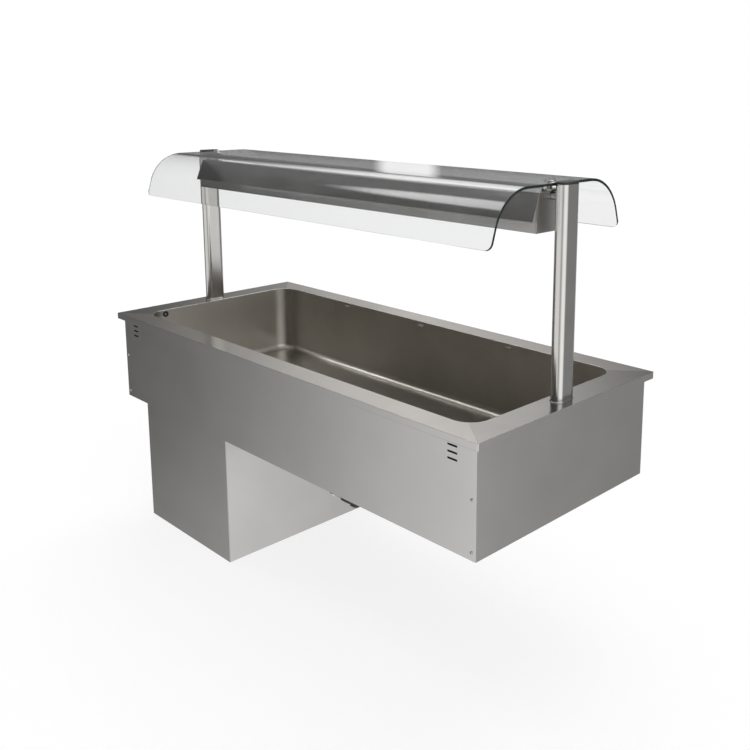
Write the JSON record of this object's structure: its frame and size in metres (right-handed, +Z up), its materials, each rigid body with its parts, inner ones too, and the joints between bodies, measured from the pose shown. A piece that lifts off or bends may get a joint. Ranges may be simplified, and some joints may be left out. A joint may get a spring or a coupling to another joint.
{
  "type": "drop-in food well",
  "caption": "Drop-in chilled food well with an insulated casing, a compressor bay under its left end, two posts, a lamp housing and a bent glass canopy.",
  "frame": {"origin": "the middle of the worktop cut-out, at the level of the worktop that the lip rests on", "axes": "+X along the well, to the right of somebody who faces the front; +Y to the rear, where the controls are; +Z up"},
  "size_m": [1.44, 0.6373, 1.0783],
  "materials": {
    "brushed_steel": "satin",
    "plain_steel": "satin",
    "copper": "satin",
    "brass": "satin",
    "aluminium": "satin",
    "foam": "matte",
    "black_plastic": "satin",
    "black_paint": "satin",
    "grey_plastic": "matte",
    "opal": "satin",
    "glass": "gloss"
  },
  "bodies": {
    "well": {"well_tank": "brushed_steel", "probe_grommet": "black_plastic", "evaporator_coil": "copper", "insulation_jacket": "foam", "front_panel": "brushed_steel", "rear_panel": "brushed_steel", "right_end_panel": "brushed_steel", "left_end_panel": "brushed_steel", "bottom_panel": "plain_steel", "front_panel_screw_1": "plain_steel", "front_panel_screw_2": "plain_steel", "front_panel_screw_3": "plain_steel", "front_panel_screw_4": "plain_steel", "bay_right_panel": "brushed_steel", "bay_left_panel": "brushed_steel", "bay_rear_grille": "brushed_steel", "bay_base_tray": "plain_steel", "control_panel": "brushed_steel", "cable_gland": "black_plastic", "thermostat": "black_plastic", "switch_block": "black_plastic", "drain_outlet": "plain_steel", "drain_pipe": "plain_steel", "valve_body": "plain_steel", "condenser": "aluminium", "fan_shroud": "black_paint", "fan_motor": "black_paint", "compressor": "black_paint", "filter_drier": "copper", "discharge_line": "copper", "capillary_line": "copper", "suction_line": "copper", "electrical_box": "grey_plastic", "left_post": "brushed_steel", "left_post_nut": "plain_steel", "left_post_cap": "black_plastic", "right_post": "brushed_steel", "right_post_nut": "plain_steel", "right_post_cap": "black_plastic", "glass_canopy": "glass", "lamp_housing": "brushed_steel", "lamp_diffuser": "opal", "lamp_strip": "aluminium", "left_housing_plate": "brushed_steel", "left_housing_spacer": "plain_steel", "left_glass_clamp": "plain_steel", "right_housing_plate": "brushed_steel", "right_housing_spacer": "plain_steel", "right_glass_clamp": "plain_steel"},
    "fan_wheel": {"condenser_fan": "aluminium"},
    "strainer": {"drain_strainer": "plain_steel"},
    "valve_spindle": {"valve_ball": "plain_steel", "valve_stem": "brass", "valve_lever": "plain_steel", "valve_lever_sleeve": "black_plastic"},
    "button_1": {"thermostat_button_1": "grey_plastic"},
    "button_2": {"thermostat_button_2": "grey_plastic"},
    "button_3": {"thermostat_button_3": "grey_plastic"},
    "mains_rocker": {"mains_rocker": "black_paint"},
    "lamp_rocker": {"lamp_rocker": "black_paint"}
  },
  "joints": [
    {"name": "fan_spin", "type": "hinge", "parent": "well", "child": "fan_wheel", "pos_m": [-0.3875, 0.182, -0.4745], "axis": [0, 1, 0], "continuous": true},
    {"name": "strainer_lift", "type": "slide", "parent": "well", "child": "strainer", "axis": [0, 0, 1], "range_m": [0, 0.2]},
    {"name": "valve_turn", "type": "hinge", "parent": "well", "child": "valve_spindle", "pos_m": [0.085, -0.15, -0.315], "axis": [0, 0, 1], "range_deg": [0, 90]},
    {"name": "button_1_press", "type": "slide", "parent": "well", "child": "button_1", "axis": [0, -1, 0], "range_m": [0, 0.001], "stiffness_N_per_m": 400, "springref_m": -0.0005},
    {"name": "button_2_press", "type": "slide", "parent": "well", "child": "button_2", "axis": [0, -1, 0], "range_m": [0, 0.001], "stiffness_N_per_m": 400, "springref_m": -0.0005},
    {"name": "button_3_press", "type": "slide", "parent": "well", "child": "button_3", "axis": [0, -1, 0], "range_m": [0, 0.001], "stiffness_N_per_m": 400, "springref_m": -0.0005},
    {"name": "mains_rocker_tilt", "type": "hinge", "parent": "well", "child": "mains_rocker", "pos_m": [-0.2939, 0.3003, -0.286], "axis": [1, 0, 0], "range_deg": [0, 20]},
    {"name": "lamp_rocker_tilt", "type": "hinge", "parent": "well", "child": "lamp_rocker", "pos_m": [-0.3159, 0.3003, -0.286], "axis": [1, 0, 0], "range_deg": [0, 20]}
  ]
}
